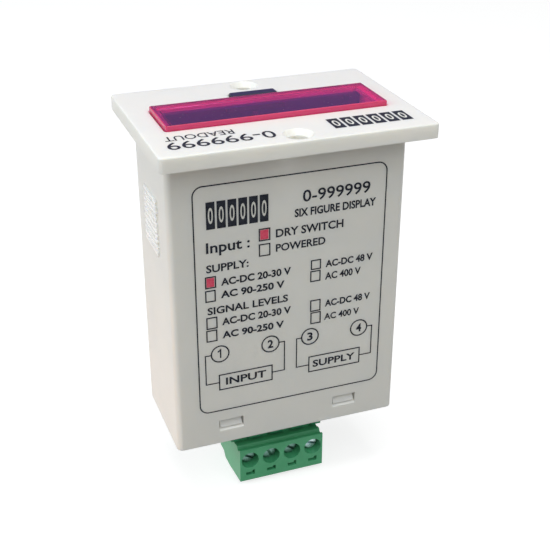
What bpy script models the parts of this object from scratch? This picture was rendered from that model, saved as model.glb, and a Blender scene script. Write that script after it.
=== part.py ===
# Panel counter: a flanged plastic housing with a display window, a reset key,
# two circuit boards and a pluggable four-pole screw terminal at its lower end.
# Metres, +Z up. The flange faces up, the printed face looks along -Y, and the
# nose of the plug, where the wires go in, is at z = 0.

import bpy
import bmesh
from math import pi
from mathutils import Matrix, Vector

MM = 0.001
GAP = 0.3 * MM                    # clearance between pieces that touch

# Housing
BODY_WIDTH = 50.4 * MM
BODY_DEPTH = 24.3 * MM
BODY_LENGTH = 67.0 * MM           # flange underside to the lower rim
BODY_CORNER = 1.3 * MM
WALL = 1.8 * MM
FLANGE_SIDE = 2.8 * MM            # overhang past the body, left and right
FLANGE_REACH = 7.85 * MM          # overhang past the body, front and back
FLANGE_THICKNESS = 3.0 * MM
FLANGE_CORNER = 0.9 * MM
FLANGE_EDGE = 0.4 * MM

# Two screw holes in the flange
HOLE_RADIUS = 2.0 * MM
HOLE_RIM = 3.05 * MM

# Toothed strips on the body's sides, which the panel clips hook on
TOOTH_COUNT = 10
TOOTH_PITCH = 1.25 * MM
TOOTH_HEIGHT = 0.35 * MM
TOOTH_CREST = 0.6 * MM
STRIP_WIDTH = 9.8 * MM
STRIP_DROP = 11.5 * MM            # first tooth below the flange

# Window, lens and digits
WINDOW_MARGIN_X = 1.8 * MM        # inner wall to window, left and right
WINDOW_MARGIN_Y = 4.75 * MM       # inner wall to window, front and back
LENS_LEDGE_X = 1.75 * MM
LENS_LEDGE_Y = 1.2 * MM
LENS_SEAT = 1.0 * MM              # depth of the recess that holds the lens
LEDGE_THICKNESS = 1.0 * MM        # what is left below the recess, over a pocket
LENS_RISE = 1.05 * MM             # lens above the flange
LENS_LIP = 0.4 * MM
LENS_EDGE = 0.25 * MM
MODULE_HEIGHT = 6.1 * MM
MODULE_SINK = 2.0 * MM            # digits below the underside of the flange
MODULE_MARGIN = 0.9 * MM          # inner wall to the digit modules, left and right
MODULE_EDGE = 0.15 * MM
MODULE_PINS = 5
MODULE_PIN_INSET = 2.65 * MM
PIN_TAIL = 1.0 * MM
PIN_SIZE = 0.6 * MM
PITCH_LEAD = 2.54 * MM

# Reset key and its switch
KEY_WIDTH = 10.0 * MM
KEY_DEPTH = 2.6 * MM
KEY_RISE = 0.45 * MM
KEY_LAND = 1.4 * MM               # flange left between lens recess and key slot
KEY_TRAVEL = 0.5 * MM
KEY_EDGE = 0.45 * MM
KEY_TOP_EDGE = 0.35 * MM
KEY_SKIRT = 1.0 * MM
KEY_SKIRT_SIDE = 1.2 * MM
SWITCH_WIDTH = 6.0 * MM
SWITCH_DEPTH = 3.0 * MM
SWITCH_HEIGHT = 3.5 * MM
PLUNGER_RADIUS = 0.7 * MM
PLUNGER_SINK = 0.9 * MM

# Boards
BOARD_THICKNESS = 1.6 * MM
BOARD_SLACK = 0.4 * MM            # board edge to housing wall
BOARD_SETBACK = 5.85 * MM         # inner back wall to the face that carries the parts
STOP_SIZE = 2.4 * MM
RAIL_WIDTH = 1.2 * MM
RAIL_THICKNESS = 1.0 * MM
RAIL_END = 8.0 * MM               # rails stop this far above the cover
LINK_PINS = 8
LINK_SIZE = 2.5 * MM
LINK_DROP = 1.6 * MM
LEAD_ROOT = 1.0 * MM              # how deep a lead is set in its part
LEG_SHEET = 0.25 * MM             # chip legs
LEG_WIDTH = 0.45 * MM
LEG_FOOT = 0.9 * MM

# Parts on the main board: where each is, as shares of the board's half width and height
RECTIFIER = (-0.65, 0.22)
RECTIFIER_RADIUS = 4.4 * MM
RECTIFIER_HEIGHT = 5.2 * MM
RECTIFIER_FLAT = 3.9 * MM         # from the centre to the flat on its rim
SUPPLY_CAN = (0.63, 0.25)
SUPPLY_CAN_RADIUS = 5.0 * MM
SUPPLY_CAN_HEADROOM = 1.2 * MM
OUTPUT_CAN = (-0.04, 0.335)
OUTPUT_CAN_RADIUS = 3.15 * MM
OUTPUT_CAN_HEIGHT = 9.0 * MM
CAN_EDGE = 0.4 * MM
CAN_GROOVE_LEVEL = 2.5 * MM       # middle of the rolled groove, above the board
CAN_GROOVE_WIDTH = 0.6 * MM
RESISTOR = (-0.02, 0.19)
RESISTOR_SPAN = 10.0 * MM
RESISTOR_RADIUS = 1.2 * MM
RESISTOR_WAIST = 1.0 * MM
RESISTOR_LENGTH = 6.3 * MM
REGULATOR = (-0.61, 0.52)
REGULATOR_SIZE = (10.0 * MM, 4.4 * MM, 9.0 * MM)
REGULATOR_TAB = 6.4 * MM
REGULATOR_SHEET = 1.3 * MM
REGULATOR_HOLE = 1.8 * MM
REGULATOR_LEAD = 3.6 * MM
OPTOCOUPLER = (0.61, 0.43)
OPTOCOUPLER_SIZE = (6.4 * MM, 3.4 * MM)    # width and height off the board
OPTOCOUPLER_PIN_COUNT = 2         # on each side
CONTROLLER = (0.045, 0.69)
CONTROLLER_SIZE = (7.5 * MM, 2.4 * MM)
CONTROLLER_PIN_COUNT = 14
CRYSTAL = (0.65, 0.645)
CRYSTAL_SIZE = (11.0 * MM, 3.5 * MM, 4.6 * MM)
CRYSTAL_LEADS = 4.9 * MM
CRYSTAL_END = 2.2 * MM            # radius of its rounded ends
CRYSTAL_EDGE = 0.35 * MM
MEMORY = (0.67, 0.815)
MEMORY_SIZE = (3.9 * MM, 1.5 * MM)
MEMORY_PIN_COUNT = 4
SMALL_PITCH = 1.27 * MM
CHIP_END = 0.43                   # body past its last leg, in pitches

# Rear cover and its snap hooks
COVER_THICKNESS = 2.0 * MM
LATCH_SPACING = 26.3 * MM
LATCH_WIDTH = 5.5 * MM
LATCH_HEIGHT = 2.3 * MM
LATCH_CENTRE = 4.65 * MM          # above the housing's lower rim
TAB_MARGIN = 0.8 * MM
TAB_THICKNESS = 1.2 * MM
LATCH_LIP = 0.45 * MM             # chamfer on the lower edge of each window
HOOK_RECESS = 0.2 * MM            # hook's lower edge behind the body's outer face
HOOK_SLOPE = 0.7 * MM             # how far its face leans back towards the top

# Screw terminal: fixed header and loose plug
POLES = 4
PITCH = 5.08 * MM
HEADER_WALL = 0.8 * MM
HEADER_BACK = 1.6 * MM
HEADER_HEIGHT = 8.6 * MM
HEADER_LENGTH = 12.0 * MM
HEADER_REACH = 6.5 * MM           # header below the housing's rim
CONTACT_PIN = 1.0 * MM
CONTACT_TIP = 1.6 * MM            # pin tip above the header's mouth
PLUG_FRONT = 7.9 * MM             # in front of the header's middle
PLUG_BACK = 7.2 * MM              # behind it
PLUG_GRIP = 9.6 * MM              # nose to shoulder
PLUG_NOSE = 1.05 * MM             # how far the nose stands below the front edge
PLUG_HEEL = 1.2 * MM
PLUG_CHAMFER = 1.0 * MM
GROOVE_LIP = 0.5 * MM             # flat in front of the shoulder's groove
GROOVE_WIDTH = 1.6 * MM
GROOVE_DEPTH = 0.7 * MM
KEY_RIB = 1.4 * MM
KEY_RIB_LENGTH = 5.0 * MM
WELL_RADIUS = 2.05 * MM
SCREW_LEVEL = 6.5 * MM
SCREW_HEAD = 1.4 * MM
SCREW_SINK = 1.7 * MM
SHANK_RADIUS = 1.2 * MM
SLOT_WIDTH = 0.6 * MM
SLOT_DEPTH = 0.7 * MM
SCREW_TURNS = (0.5, 1.1, 0.6, 0.35)
CLAMP_WIDTH = 3.8 * MM
CLAMP_LENGTH = 4.6 * MM
CLAMP_DEPTH = 7.6 * MM
CLAMP_NUT = 1.7 * MM
CLAMP_SHEET = 0.5 * MM
WIRE_WIDTH = 3.4 * MM
WIRE_HEIGHT = 3.2 * MM
WIRE_CENTRE = 1.8 * MM            # behind the header's middle
TEST_SLOT_LEVEL = 2.85 * MM
TEST_SLOT_WIDTH = 2.1 * MM
TEST_SLOT_HEIGHT = 0.8 * MM
TEST_SLOT_DEPTH = 2.5 * MM
TEST_SLOT_END = (0.6 * MM, 1.2 * MM)    # its taller right end: width and height
SPRING_SHEET = 0.4 * MM
SPRING_WIDTH = 2.4 * MM
SPRING_LENGTH = 7.4 * MM

# Levels, from the plug's nose upwards
header_mouth = PLUG_GRIP + GAP
rim_level = header_mouth + HEADER_REACH
flange_bottom = rim_level + BODY_LENGTH
flange_top = flange_bottom + FLANGE_THICKNESS
cover_top = rim_level + COVER_THICKNESS
lens_bottom = flange_top - LENS_SEAT + GAP - LENS_LIP
ledge_bottom = flange_top - LENS_SEAT - LEDGE_THICKNESS
module_top = flange_bottom - MODULE_SINK
display_board_top = module_top - MODULE_HEIGHT - GAP
display_board_bottom = display_board_top - BOARD_THICKNESS
main_board_top = display_board_bottom - GAP
main_board_bottom = cover_top + GAP

# Widths that several pieces share
inner_x = BODY_WIDTH / 2 - WALL
inner_y = BODY_DEPTH / 2 - WALL
board_x = inner_x - BOARD_SLACK
board_y = inner_y - BOARD_SLACK
board_height = main_board_top - main_board_bottom
window_x = inner_x - WINDOW_MARGIN_X
window_y = inner_y - WINDOW_MARGIN_Y
recess_x = window_x + LENS_LEDGE_X
recess_y = window_y + LENS_LEDGE_Y
module_width = inner_x - MODULE_MARGIN - GAP / 2
module_y = inner_y - SWITCH_DEPTH - 3 * GAP
key_front = recess_y + KEY_LAND + GAP
key_y = key_front + KEY_DEPTH / 2
board_face = inner_y - BOARD_SETBACK
header_y = board_face - GAP - HEADER_HEIGHT / 2
header_x = POLES * PITCH / 2 + HEADER_WALL
socket_x = POLES * PITCH / 2
socket_y = HEADER_HEIGHT / 2 - HEADER_WALL - GAP / 2
header_top = header_mouth + HEADER_LENGTH
socket_end = header_top - HEADER_BACK
plug_end = socket_end - GAP
board_pin_level = header_top + GAP + CONTACT_PIN / 2
latch_level = rim_level + LATCH_CENTRE
plug_front = header_y - PLUG_FRONT
plug_back = header_y + PLUG_BACK
wire_y = header_y + WIRE_CENTRE
pole_places = [(pole - (POLES - 1) / 2) * PITCH for pole in range(POLES)]

for old in list(bpy.data.objects):
    bpy.data.objects.remove(old)

counter = bpy.data.collections.new("panel_counter")
cutters = bpy.data.collections.new("cutters")
bpy.context.scene.collection.children.link(counter)
bpy.context.scene.collection.children.link(cutters)


def material(name, colour, roughness=0.5, metallic=0.0):
    made = bpy.data.materials.new(name)
    made.use_nodes = True
    surface = made.node_tree.nodes["Principled BSDF"]
    surface.inputs["Base Color"].default_value = (*colour, 1.0)
    surface.inputs["Roughness"].default_value = roughness
    surface.inputs["Metallic"].default_value = metallic
    return made


def place(name, mesh, centre, finish=None):
    """Add a named object that shows the mesh at a place."""
    made = bpy.data.objects.new(name, mesh)
    made.location = centre
    counter.objects.link(made)
    if finish and not mesh.materials:
        mesh.materials.append(finish)
    return made


def mesh_from(shape, name):
    mesh = bpy.data.meshes.new(name)
    shape.to_mesh(mesh)
    shape.free()
    return mesh


def box_shape(size):
    shape = bmesh.new()
    bmesh.ops.create_cube(shape, size=1.0, matrix=Matrix.Diagonal((*size, 1.0)))
    return shape


def edges_along(shape, axis):
    """Edges that run along one axis of the shape, by its index."""
    chosen = []
    for edge in shape.edges:
        run = edge.verts[1].co - edge.verts[0].co
        if abs(run[axis]) > 0.999 * run.length:
            chosen.append(edge)
    return chosen


def round_edges(shape, edges, radius, segments=3):
    bmesh.ops.bevel(shape, geom=edges, offset=radius, segments=segments, profile=0.5,
                    affect="EDGES", clamp_overlap=True)


def rim_edges(shape, axis, side):
    """Edges of the end face on one side of the shape along an axis."""
    reach = max(vertex.co[axis] * side for vertex in shape.verts)
    return [edge for edge in shape.edges
            if all(vertex.co[axis] * side > reach - 1e-7 for vertex in edge.verts)]


def box(name, size, centre, finish=None):
    return place(name, mesh_from(box_shape(size), name), centre, finish)


def span_box(name, low, high, finish=None):
    """A box given by two opposite corners."""
    low = Vector(low)
    high = Vector(high)
    return box(name, high - low, (low + high) / 2, finish)


def many_boxes(name, size, centres):
    """Separate boxes of one size in one mesh, for cutters and for rows of pins."""
    shape = bmesh.new()
    for centre in centres:
        turn = Matrix.Translation(centre) @ Matrix.Diagonal((*size, 1.0))
        bmesh.ops.create_cube(shape, size=1.0, matrix=turn)
    return place(name, mesh_from(shape, name), (0, 0, 0))


def rod_shape(radius, length, axis="Z", segments=24, end_radius=None):
    shape = bmesh.new()
    turn = {"Z": Matrix.Identity(4), "X": Matrix.Rotation(pi / 2, 4, "Y"),
            "Y": Matrix.Rotation(-pi / 2, 4, "X")}[axis]
    bmesh.ops.create_cone(shape, cap_ends=True, segments=segments, radius1=radius,
                          radius2=radius if end_radius is None else end_radius,
                          depth=length, matrix=turn)
    return shape


def rod(name, radius, length, centre, axis="Z", segments=24, finish=None, end_radius=None):
    """A cylinder or cone whose end radius is at the far end of its axis."""
    shape = rod_shape(radius, length, axis, segments, end_radius)
    return place(name, mesh_from(shape, name), centre, finish)


def many_rods(name, radius, length, centres, axis="Z", segments=12):
    shape = bmesh.new()
    for centre in centres:
        one = rod_shape(radius, length, axis, segments)
        bmesh.ops.translate(one, verts=one.verts, vec=centre)
        part = mesh_from(one, name + "_one")
        shape.from_mesh(part)
        bpy.data.meshes.remove(part)
    return place(name, mesh_from(shape, name), (0, 0, 0))


def prism(name, points, length, centre, axis="X", finish=None):
    """A flat outline with thickness: (y, z) points along X, (x, z) along Y, (x, y) along Z."""
    curve = bpy.data.curves.new(name, "CURVE")
    curve.dimensions = "2D"
    curve.fill_mode = "BOTH"
    curve.extrude = length / 2
    spline = curve.splines.new("POLY")
    spline.points.add(len(points) - 1)
    for point, place_at in zip(spline.points, points):
        point.co = (place_at[0], place_at[1], 0, 1)
    spline.use_cyclic_u = True
    drawn = bpy.data.objects.new(name, curve)
    counter.objects.link(drawn)
    view = bpy.context.evaluated_depsgraph_get()
    mesh = bpy.data.meshes.new_from_object(drawn.evaluated_get(view))
    bpy.data.objects.remove(drawn)
    shape = bmesh.new()
    shape.from_mesh(mesh)
    bmesh.ops.remove_doubles(shape, verts=shape.verts, dist=1e-6)
    turn = {"X": Matrix(((0, 0, 1), (1, 0, 0), (0, 1, 0))),
            "Y": Matrix(((1, 0, 0), (0, 0, -1), (0, 1, 0))),
            "Z": Matrix.Identity(3)}[axis]
    bmesh.ops.transform(shape, matrix=turn.to_4x4(), verts=shape.verts)
    bmesh.ops.recalc_face_normals(shape, faces=shape.faces)
    shape.to_mesh(mesh)
    shape.free()
    mesh.name = name
    return place(name, mesh, centre, finish)


def combine(target, tool, operation):
    """Join the tool to the target, or cut it away, and file the tool with the cutters."""
    step = target.modifiers.new(tool.name, "BOOLEAN")
    step.operation = operation
    step.solver = "EXACT"
    step.object = tool
    tool.hide_render = True
    tool.display_type = "WIRE"
    counter.objects.unlink(tool)
    cutters.objects.link(tool)


def cut(target, tool):
    combine(target, tool, "DIFFERENCE")


def join(target, tool):
    combine(target, tool, "UNION")


def settled(piece):
    """Turn a piece and its modifiers into a plain mesh, so that copies can share it."""
    view = bpy.context.evaluated_depsgraph_get()
    mesh = bpy.data.meshes.new_from_object(piece.evaluated_get(view))
    for step in piece.modifiers:
        bpy.data.objects.remove(step.object)
    piece.modifiers.clear()
    piece.data = mesh


def smooth(piece, angle=0.6):
    piece.data.shade_smooth()
    piece.data.set_sharp_from_angle(angle=angle)


def copies(name, first, places):
    """Name the first piece 1 and put copies that share its mesh at the other places."""
    first.name = f"{name}_1"
    first.location.x = places[0]
    row = [first]
    for number, place_at in enumerate(places[1:], start=2):
        other = place(f"{name}_{number}", first.data, first.location)
        other.rotation_euler = first.rotation_euler
        other.location.x = place_at
        row.append(other)
    return row


def make_housing():
    """One moulding: tube-shaped body, flange, clip strips, board rails and stops."""
    ivory = material("housing_ivory", (0.80, 0.79, 0.74), 0.45)
    body_top = flange_bottom + FLANGE_THICKNESS / 2
    shape = box_shape((BODY_WIDTH, BODY_DEPTH, body_top - rim_level))
    round_edges(shape, edges_along(shape, 2), BODY_CORNER)
    housing = place("front_housing", mesh_from(shape, "front_housing"),
                    (0, 0, (body_top + rim_level) / 2), ivory)

    flange_size = (BODY_WIDTH + 2 * FLANGE_SIDE, BODY_DEPTH + 2 * FLANGE_REACH, FLANGE_THICKNESS)
    shape = box_shape(flange_size)
    round_edges(shape, edges_along(shape, 2), FLANGE_CORNER)
    round_edges(shape, rim_edges(shape, 2, 1), FLANGE_EDGE, 2)
    join(housing, place("flange_blank", mesh_from(shape, "flange_blank"),
                        (0, 0, flange_bottom + FLANGE_THICKNESS / 2)))

    for side in (-1, 1):
        join(housing, tooth_strip(side))

    cut(housing, span_box("cavity", (-inner_x, -inner_y, rim_level - WALL),
                          (inner_x, inner_y, flange_bottom)))
    for side in (-1, 1):
        join(housing, board_rails(side))
    join(housing, many_boxes("board_stops", stop_size(), stop_places()))

    pocket_x = window_x + LENS_LEDGE_Y
    cut(housing, span_box("window_pocket", (-pocket_x, -recess_y, flange_bottom - FLANGE_THICKNESS),
                          (pocket_x, recess_y, ledge_bottom)))
    cut(housing, box("window", (2 * window_x, 2 * window_y, 3 * FLANGE_THICKNESS),
                     (0, 0, flange_bottom)))
    shape = box_shape((2 * recess_x, 2 * recess_y, 2 * LENS_SEAT))
    round_edges(shape, edges_along(shape, 2), LENS_EDGE + GAP, 2)
    cut(housing, place("lens_recess", mesh_from(shape, "lens_recess"), (0, 0, flange_top)))

    slot_depth = FLANGE_THICKNESS + GAP
    shape = box_shape((KEY_WIDTH + 2 * GAP, KEY_DEPTH + 2 * GAP, 2 * slot_depth))
    round_edges(shape, edges_along(shape, 2), KEY_EDGE + GAP)
    cut(housing, place("key_slot", mesh_from(shape, "key_slot"), (0, key_y, flange_top)))

    hole_y = (BODY_DEPTH + FLANGE_REACH) / 2
    profile = [(0, GAP), (HOLE_RIM + GAP, GAP), (HOLE_RADIUS, HOLE_RADIUS - HOLE_RIM),
               (HOLE_RADIUS, -2 * FLANGE_THICKNESS), (0, -2 * FLANGE_THICKNESS)]
    for side in (-1, 1):
        hole = turned(f"screw_hole_{side}", profile, 32)
        hole.location = (0, side * hole_y, flange_top)
        cut(housing, hole)

    window_size = (LATCH_WIDTH, BODY_DEPTH + 2 * WALL, LATCH_HEIGHT)
    latch_centres = [(side * LATCH_SPACING / 2, 0, latch_level) for side in (-1, 1)]
    cut(housing, many_boxes("latch_windows", window_size, latch_centres))
    face = BODY_DEPTH / 2
    low = latch_level - LATCH_HEIGHT / 2
    for end in (-1, 1):
        outline = [(face + GAP, low - LATCH_LIP - GAP), (face + GAP, low + GAP),
                   (face - LATCH_LIP - GAP, low + GAP)]
        outline = [(end * deep, level) for deep, level in outline]
        for across in (-LATCH_SPACING / 2, LATCH_SPACING / 2):
            cut(housing, prism(f"latch_lip_{end}", outline, LATCH_WIDTH, (across, 0, 0)))
    smooth(housing)
    return housing


def tooth_strip(side):
    """The row of teeth on one side wall, drawn as one outline that reaches into the wall."""
    top = flange_bottom - STRIP_DROP
    face = BODY_WIDTH / 2
    points = [(face - WALL / 2, top)]
    for tooth in range(TOOTH_COUNT):
        start = top - tooth * TOOTH_PITCH
        slope = (TOOTH_PITCH - TOOTH_CREST) / 3
        points.append((face - GAP / 3, start))
        points.append((face + TOOTH_HEIGHT, start - slope))
        points.append((face + TOOTH_HEIGHT, start - slope - TOOTH_CREST))
        points.append((face - GAP / 3, start - 2 * slope - TOOTH_CREST))
    points.append((face - WALL / 2, top - TOOTH_COUNT * TOOTH_PITCH))
    points = [(side * across, level) for across, level in points]
    return prism(f"tooth_strip_{side}", points, STRIP_WIDTH, (0, 0, 0), "Y")


def board_rails(side):
    """Two rails on one side wall that the main board slides between."""
    low = cover_top + RAIL_END
    high = display_board_bottom - GAP
    size = (RAIL_WIDTH + WALL / 2, RAIL_THICKNESS, high - low)
    across = side * (inner_x + WALL / 2 - size[0] / 2)
    level = (low + high) / 2
    front = board_face - GAP - RAIL_THICKNESS / 2
    back = board_face + BOARD_THICKNESS + GAP + RAIL_THICKNESS / 2
    return many_boxes(f"board_rails_{side}", size, [(across, front, level), (across, back, level)])


def stop_size():
    height = flange_bottom - display_board_top - GAP + FLANGE_THICKNESS / 2
    return (STOP_SIZE + WALL / 2, STOP_SIZE + WALL / 2, height)


def stop_places():
    """Four posts in the housing's upper corners that stop the display board."""
    size = stop_size()
    across = inner_x + WALL / 2 - size[0] / 2
    deep = inner_y + WALL / 2 - size[1] / 2
    level = display_board_top + GAP + size[2] / 2
    return [(side * across, end * deep, level) for side in (-1, 1) for end in (-1, 1)]


def make_lens():
    """Clear window: a plate in the flange's recess with a lip that drops into the opening."""
    red = material("lens_red", (0.70, 0.04, 0.14), 0.08)
    plate_bottom = flange_top - LENS_SEAT + GAP
    plate_top = flange_top + LENS_RISE
    size = (2 * (recess_x - GAP), 2 * (recess_y - GAP), plate_top - plate_bottom)
    shape = box_shape(size)
    round_edges(shape, edges_along(shape, 2), LENS_EDGE, 2)
    round_edges(shape, rim_edges(shape, 2, 1), LENS_EDGE, 2)
    lens = place("display_lens", mesh_from(shape, "display_lens"),
                 (0, 0, (plate_top + plate_bottom) / 2), red)
    join(lens, span_box("lens_lip", (GAP - window_x, GAP - window_y, lens_bottom),
                        (window_x - GAP, window_y - GAP, plate_top - LENS_RISE / 2)))
    return lens


def make_rear_cover():
    """Plate inside the lower rim, with four snap hooks in the housing's latch windows."""
    ivory = material("cover_ivory", (0.80, 0.79, 0.74), 0.45)
    edge_x = inner_x - GAP
    edge_y = inner_y - GAP
    cover = span_box("rear_cover", (-edge_x, -edge_y, rim_level),
                     (edge_x, edge_y, cover_top), ivory)
    tab_width = LATCH_WIDTH + 2 * TAB_MARGIN
    tab_top = latch_level + LATCH_HEIGHT / 2 + TAB_MARGIN
    hook_face = BODY_DEPTH / 2 - HOOK_RECESS
    hook_low = latch_level - LATCH_HEIGHT / 2 + GAP
    hook_high = latch_level + LATCH_HEIGHT / 2 - GAP
    for side in (-1, 1):
        for end in (-1, 1):
            across = side * LATCH_SPACING / 2
            outline = [(edge_y - TAB_THICKNESS, cover_top - COVER_THICKNESS / 2),
                       (edge_y, cover_top - COVER_THICKNESS / 2),
                       (edge_y, tab_top),
                       (edge_y - TAB_THICKNESS / 2, tab_top),
                       (edge_y - TAB_THICKNESS, tab_top - TAB_MARGIN)]
            outline = [(end * deep, level) for deep, level in outline]
            join(cover, prism(f"tab_{side}_{end}", outline, tab_width, (across, 0, 0)))
            outline = [(edge_y - TAB_THICKNESS / 2, hook_low), (hook_face, hook_low),
                       (hook_face - HOOK_SLOPE, hook_high),
                       (edge_y - TAB_THICKNESS / 2, hook_high)]
            outline = [(end * deep, level) for deep, level in outline]
            join(cover, prism(f"hook_{side}_{end}", outline, LATCH_WIDTH - 2 * GAP, (across, 0, 0)))
    opening = (2 * (header_x + GAP), HEADER_HEIGHT + 2 * GAP, 3 * COVER_THICKNESS)
    cut(cover, box("header_opening", opening, (0, header_y, rim_level)))
    return cover


def make_reset_key():
    """Rounded bar in the flange with a wider skirt below that keeps it from falling out."""
    navy = material("key_navy", (0.02, 0.025, 0.07), 0.35)
    head_top = flange_top + KEY_RISE
    head_bottom = flange_bottom + KEY_TRAVEL + GAP
    shape = box_shape((KEY_WIDTH, KEY_DEPTH, head_top - head_bottom))
    round_edges(shape, edges_along(shape, 2), KEY_EDGE)
    round_edges(shape, rim_edges(shape, 2, 1), KEY_TOP_EDGE, 3)
    key = place("reset_key", mesh_from(shape, "reset_key"),
                (0, key_y, (head_top + head_bottom) / 2), navy)
    skirt_top = flange_bottom - GAP
    skirt_bottom = skirt_top - KEY_SKIRT
    skirt_front = recess_y + KEY_LAND / 2
    skirt_back = inner_y - GAP
    inset = GAP / 3
    neck_x = KEY_WIDTH / 2 - KEY_EDGE - inset
    join(key, span_box("key_neck", (-neck_x, key_front + inset, skirt_bottom + inset),
                       (neck_x, skirt_back - inset, head_bottom + KEY_RISE)))
    skirt_x = KEY_WIDTH / 2 + KEY_SKIRT_SIDE
    join(key, span_box("key_skirt", (-skirt_x, skirt_front, skirt_bottom),
                       (skirt_x, skirt_back, skirt_top)))
    smooth(key)
    return key


def make_reset_switch():
    """Low switch on the display board, and the plunger that the key's skirt pushes."""
    black = material("switch_black", (0.03, 0.03, 0.03), 0.5)
    white = material("plunger_white", (0.75, 0.75, 0.72), 0.5)
    switch_y = inner_y - GAP - SWITCH_DEPTH / 2
    low = display_board_top + GAP
    top = low + SWITCH_HEIGHT
    switch = box("reset_switch", (SWITCH_WIDTH, SWITCH_DEPTH, SWITCH_HEIGHT),
                 (0, switch_y, (low + top) / 2), black)
    well_bottom = top - PLUNGER_SINK - KEY_TRAVEL - GAP
    cut(switch, rod("plunger_well", PLUNGER_RADIUS + GAP, 2 * (top - well_bottom),
                    (0, switch_y, top), segments=16))
    plunger_top = flange_bottom - GAP - KEY_SKIRT - GAP
    plunger_bottom = top - PLUNGER_SINK
    plunger = rod("switch_plunger", PLUNGER_RADIUS, plunger_top - plunger_bottom,
                  (0, switch_y, (plunger_top + plunger_bottom) / 2), segments=16, finish=white)
    smooth(plunger)
    return switch, plunger


def module_pin_places(side):
    """Pin places of the left or right digit module."""
    centre = side * (module_width + GAP) / 2
    run = range(MODULE_PINS)
    return [(centre + (pin - (MODULE_PINS - 1) / 2) * PITCH_LEAD, end * (module_y - MODULE_PIN_INSET))
            for pin in run for end in (-1, 1)]


def link_pin_places():
    return [(pin - (LINK_PINS - 1) / 2) * PITCH_LEAD for pin in range(LINK_PINS)]


def link_pin_y():
    return board_face - GAP - LINK_SIZE / 2


def link_level():
    return main_board_top - LINK_DROP - LINK_SIZE / 2


def make_digit_module(name, side):
    """Three digits in one block, with two rows of pins through the board."""
    dark = material(name, (0.10, 0.12, 0.20), 0.35)
    size = (module_width, 2 * module_y, MODULE_HEIGHT)
    centre = (side * (module_width + GAP) / 2, 0, module_top - MODULE_HEIGHT / 2)
    shape = box_shape(size)
    round_edges(shape, rim_edges(shape, 2, 1), MODULE_EDGE, 1)
    block = place(name, mesh_from(shape, name), centre, dark)
    pin_bottom = display_board_bottom - PIN_TAIL
    pin_top = module_top - MODULE_HEIGHT / 2
    size = (PIN_SIZE, PIN_SIZE, pin_top - pin_bottom)
    level = (pin_top + pin_bottom) / 2
    join(block, many_boxes(name + "_pins", size,
                           [(across, deep, level) for across, deep in module_pin_places(side)]))
    return block


def make_display_board():
    green = material("display_board_green", (0.02, 0.20, 0.08), 0.45)
    board = span_box("display_board", (-board_x, -board_y, display_board_bottom),
                     (board_x, board_y, display_board_top), green)
    hole = (PIN_SIZE + 2 * GAP, PIN_SIZE + 2 * GAP, 3 * BOARD_THICKNESS)
    places = [(across, deep, display_board_top) for side in (-1, 1)
              for across, deep in module_pin_places(side)]
    cut(board, many_boxes("module_pin_holes", hole, places))
    places = [(across, link_pin_y(), display_board_top) for across in link_pin_places()]
    cut(board, many_boxes("link_pin_holes", hole, places))
    return board


def make_board_link():
    """Right-angle pin strip that joins the two boards."""
    metal = material("board_link", (0.05, 0.05, 0.05), 0.5)
    strip = box("board_link", (LINK_PINS * PITCH_LEAD, LINK_SIZE, LINK_SIZE),
                (0, link_pin_y(), link_level()), metal)
    half = PIN_SIZE / 2
    back = board_face + BOARD_THICKNESS + PIN_TAIL
    deep = link_pin_y()
    level = link_level()
    corner = LINK_SIZE / 4
    outline = [(deep - half, level - corner), (back, level - corner),
               (back, level - corner + PIN_SIZE), (deep + half, level - corner + PIN_SIZE),
               (deep + half, display_board_top), (deep - half, display_board_top)]
    for number, across in enumerate(link_pin_places()):
        join(strip, prism(f"link_pin_{number}", outline, PIN_SIZE, (across, 0, 0)))
    return strip


def make_main_board(lead_holes):
    """Board that slides into the rails, drilled for every lead that passes through it."""
    green = material("main_board_green", (0.02, 0.20, 0.08), 0.45)
    back = board_face + BOARD_THICKNESS
    board = span_box("main_board", (-board_x, board_face, main_board_bottom),
                     (board_x, back, main_board_top), green)
    hole = (PIN_SIZE + 2 * GAP, 3 * BOARD_THICKNESS, PIN_SIZE + 2 * GAP)
    link_hole_level = link_level() - LINK_SIZE / 4 + PIN_SIZE / 2
    places = [(across, back, link_hole_level) for across in link_pin_places()]
    cut(board, many_boxes("link_holes", hole, places))
    places = [(across, back, level) for across, level in lead_holes]
    cut(board, many_boxes("lead_holes", hole, places))
    hole = (CONTACT_PIN + 2 * GAP, 3 * BOARD_THICKNESS, CONTACT_PIN + 2 * GAP)
    places = [(across, back, board_pin_level) for across in pole_places]
    cut(board, many_boxes("terminal_holes", hole, places))
    return board


def gull_legs(name, count, pitch, half_width, seat, height):
    """Two rows of bent legs beside a flat chip body whose foot face is at y = seat."""
    middle = seat - height / 2
    inner = half_width - 2 * LEG_SHEET
    knee = half_width + LEG_SHEET
    shin = knee + LEG_SHEET
    toe = shin + LEG_FOOT
    outline = [(inner, middle - LEG_SHEET / 2), (shin, middle - LEG_SHEET / 2),
               (shin, seat - LEG_SHEET), (toe, seat - LEG_SHEET), (toe, seat), (knee, seat),
               (knee, middle + LEG_SHEET / 2), (inner, middle + LEG_SHEET / 2)]
    rows = []
    for side in (-1, 1):
        points = [(side * across, deep) for across, deep in outline]
        for number in range(count):
            level = (number - (count - 1) / 2) * pitch
            rows.append(prism(f"{name}_leg_{side}_{number}", points, LEG_WIDTH, (0, 0, level), "Z"))
    return rows


def board_place(share):
    """Across and level on the main board, from shares of its half width and its height."""
    return share[0] * board_x, main_board_bottom + share[1] * board_height


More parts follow.
